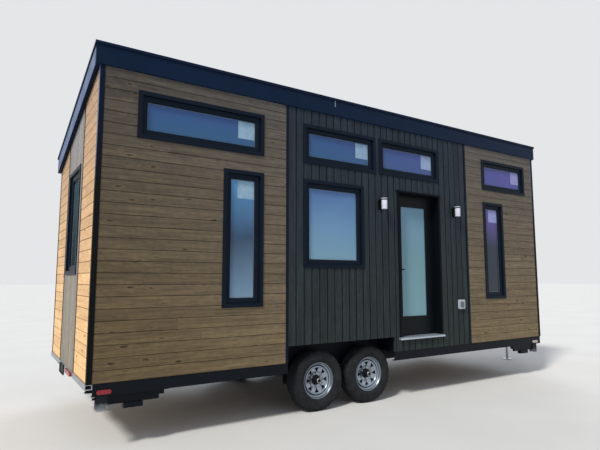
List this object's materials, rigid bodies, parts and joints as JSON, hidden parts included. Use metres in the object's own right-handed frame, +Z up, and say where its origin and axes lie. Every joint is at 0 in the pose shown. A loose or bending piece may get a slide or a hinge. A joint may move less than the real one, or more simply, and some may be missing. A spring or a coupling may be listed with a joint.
{
  "type": "tiny house on wheels",
  "caption": "Single-pitch tiny house with natural and dark boards, clerestory windows and a glazed door, built on a tandem-axle trailer with a tongue and jack.",
  "frame": {"origin": "middle of the bounding box on the ground", "axes": "+X from the rear end towards the hitch, -Y out of the side with the door, +Z up"},
  "size_m": [8.792, 2.751, 4.0275],
  "materials": {
    "frame_steel": "black chassis paint, semi-gloss",
    "zinc_steel": "galvanised, dull",
    "tyre": "matt tread rubber",
    "wheel_paint": "silver wheel paint",
    "natural_wood": "oiled softwood boards, satin",
    "dark_wood": "charcoal stained boards, matt",
    "navy_metal": "near-black powder coat, satin",
    "roof_metal": "standing seam sheet, satin",
    "framing": "sawn framing and sheathing",
    "glass": "clear sealed glazing with a blue tint",
    "door_paint": "painted door skin",
    "bare_aluminium": "mill finish",
    "lamp_glass": "opal shade",
    "black_metal": "matt black",
    "red_lens": "red lens",
    "grey_plastic": "weatherproof grey"
  },
  "bodies": {
    "house": {"main_rails": "frame_steel", "cross_members": "frame_steel", "side_rails": "frame_steel", "rear_channel": "zinc_steel", "front_channel": "frame_steel", "tongue_beams": "frame_steel", "coupler": "zinc_steel", "tongue_jack": "zinc_steel", "axles": "frame_steel", "leaf_springs": "frame_steel", "spring_hangers": "frame_steel", "wheel_wells": "frame_steel", "corner_jacks": "zinc_steel", "plate_bracket": "black_metal", "running_lights": "red_lens", "floor_deck": "framing", "front_wall_upper": "framing", "front_wall_rear": "framing", "front_wall_front": "framing", "back_wall": "framing", "rear_end_wall": "framing", "hitch_end_wall": "framing", "front_natural_boards": "natural_wood", "front_dark_boards": "dark_wood", "back_natural_boards": "natural_wood", "back_dark_boards": "dark_wood", "end_natural_boards": "natural_wood", "end_dark_boards": "dark_wood", "corner_trims": "navy_metal", "joint_trims": "navy_metal", "roof_panel": "framing", "roof_covering": "roof_metal", "eave_fascias": "navy_metal", "gable_fascias": "navy_metal", "window_frames": "navy_metal", "window_panes": "glass", "door_frame": "navy_metal", "door_sill": "bare_aluminium", "lamp_brackets": "black_metal", "lamp_glasses": "lamp_glass", "outlet_cover": "grey_plastic", "hinge_posts": "black_metal"},
    "door": {"door_leaf": "door_paint", "door_glass": "glass", "door_handle": "black_metal", "hinge_leaves": "black_metal"},
    "rear_left": {"rear_left_tyre": "tyre", "rear_left_wheel": "wheel_paint"},
    "rear_right": {"rear_right_tyre": "tyre", "rear_right_wheel": "wheel_paint"},
    "front_left": {"front_left_tyre": "tyre", "front_left_wheel": "wheel_paint"},
    "front_right": {"front_right_tyre": "tyre", "front_right_wheel": "wheel_paint"}
  },
  "joints": [
    {"name": "door_swing", "type": "hinge", "parent": "house", "child": "door", "pos_m": [0.555, -1.0665, 0.8], "axis": [0, 0, -1], "range_deg": [0, 105]},
    {"name": "rear_left_roll", "type": "hinge", "parent": "house", "child": "rear_left", "pos_m": [-1.596, -1.052, 0.37], "axis": [0, 1, 0], "continuous": true},
    {"name": "rear_right_roll", "type": "hinge", "parent": "house", "child": "rear_right", "pos_m": [-1.596, 1.153, 0.37], "axis": [0, 1, 0], "continuous": true},
    {"name": "front_left_roll", "type": "hinge", "parent": "house", "child": "front_left", "pos_m": [-0.778, -1.052, 0.37], "axis": [0, 1, 0], "continuous": true},
    {"name": "front_right_roll", "type": "hinge", "parent": "house", "child": "front_right", "pos_m": [-0.778, 1.153, 0.37], "axis": [0, 1, 0], "continuous": true}
  ]
}
